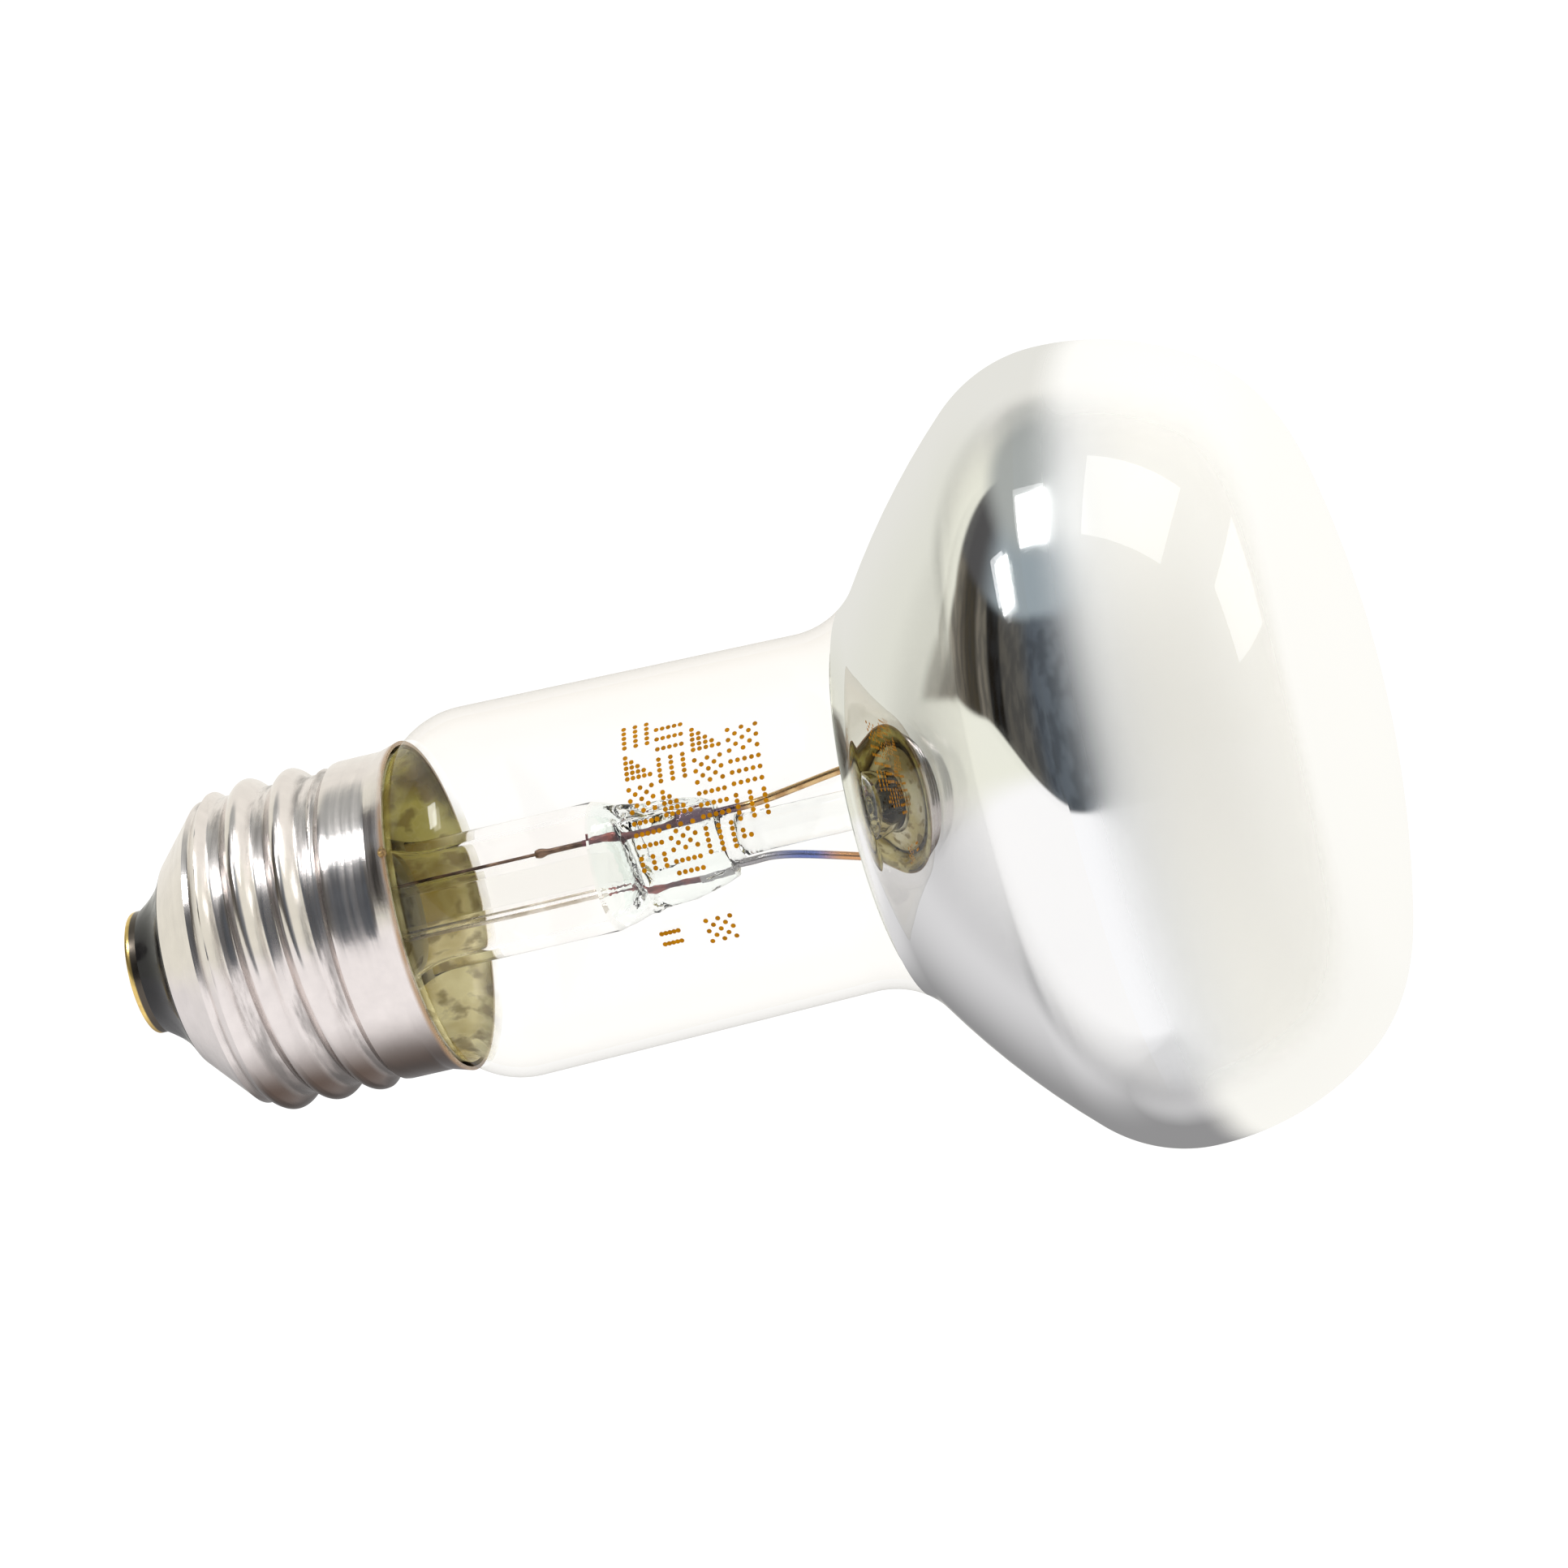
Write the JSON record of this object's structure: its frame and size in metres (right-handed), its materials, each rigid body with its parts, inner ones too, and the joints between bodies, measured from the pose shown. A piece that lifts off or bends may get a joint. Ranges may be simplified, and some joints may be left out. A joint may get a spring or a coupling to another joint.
{
  "type": "reflector lamp bulb",
  "caption": "Mirrored spot lamp bulb with a clear neck, a satin domed face and a screw cap, for a basking lamp holder; stands on its face with the cap up.",
  "frame": {"origin": "middle of the domed face's outside, where the lamp stands on it", "axes": "+Z along the lamp's axis from the face to the screw cap; +X is up and -Y faces the viewer in the picture, where the lamp lies on its side"},
  "size_m": [0.0627, 0.0626, 0.1002],
  "materials": {
    "bulb_glass": "clear neck, satin face, glossy outside",
    "mirror_film": "vacuum-coated aluminium mirror",
    "shell_aluminium": "rolled thin sheet, satin",
    "black_glass": "black glass, moulded, glossy",
    "contact_brass": "tarnished brass",
    "solder": "soft solder, dull",
    "basing_cement": "baked resin cement, matte",
    "stem_glass": "clear lead glass, fire-polished",
    "copper_clad": "copper-clad seal wire, brick red in glass",
    "copper": "drawn copper",
    "fuse_alloy": "thin drawn nickel alloy",
    "lead_nickel": "nickel-plated, heat-tinted",
    "molybdenum": "drawn molybdenum",
    "tungsten": "coiled tungsten, dark grey"
  },
  "bodies": {
    "root": {"glass_envelope": "bulb_glass", "reflector_coating": "mirror_film", "screw_shell": "shell_aluminium", "insulator": "black_glass", "contact_plate": "contact_brass", "contact_solder": "solder", "side_solder": "solder", "cap_cement": "basing_cement", "stem_tube": "stem_glass", "exhaust_tube": "stem_glass", "stem_rod": "stem_glass", "seal_wire_a": "copper_clad", "seal_wire_b": "copper_clad", "outer_lead_a": "copper", "outer_lead_b": "copper", "fuse_wire": "fuse_alloy", "inner_lead_a": "lead_nickel", "inner_lead_b": "lead_nickel", "support_wire_1": "molybdenum", "support_wire_2": "molybdenum", "support_wire_3": "molybdenum", "filament": "tungsten"}
  },
  "joints": []
}
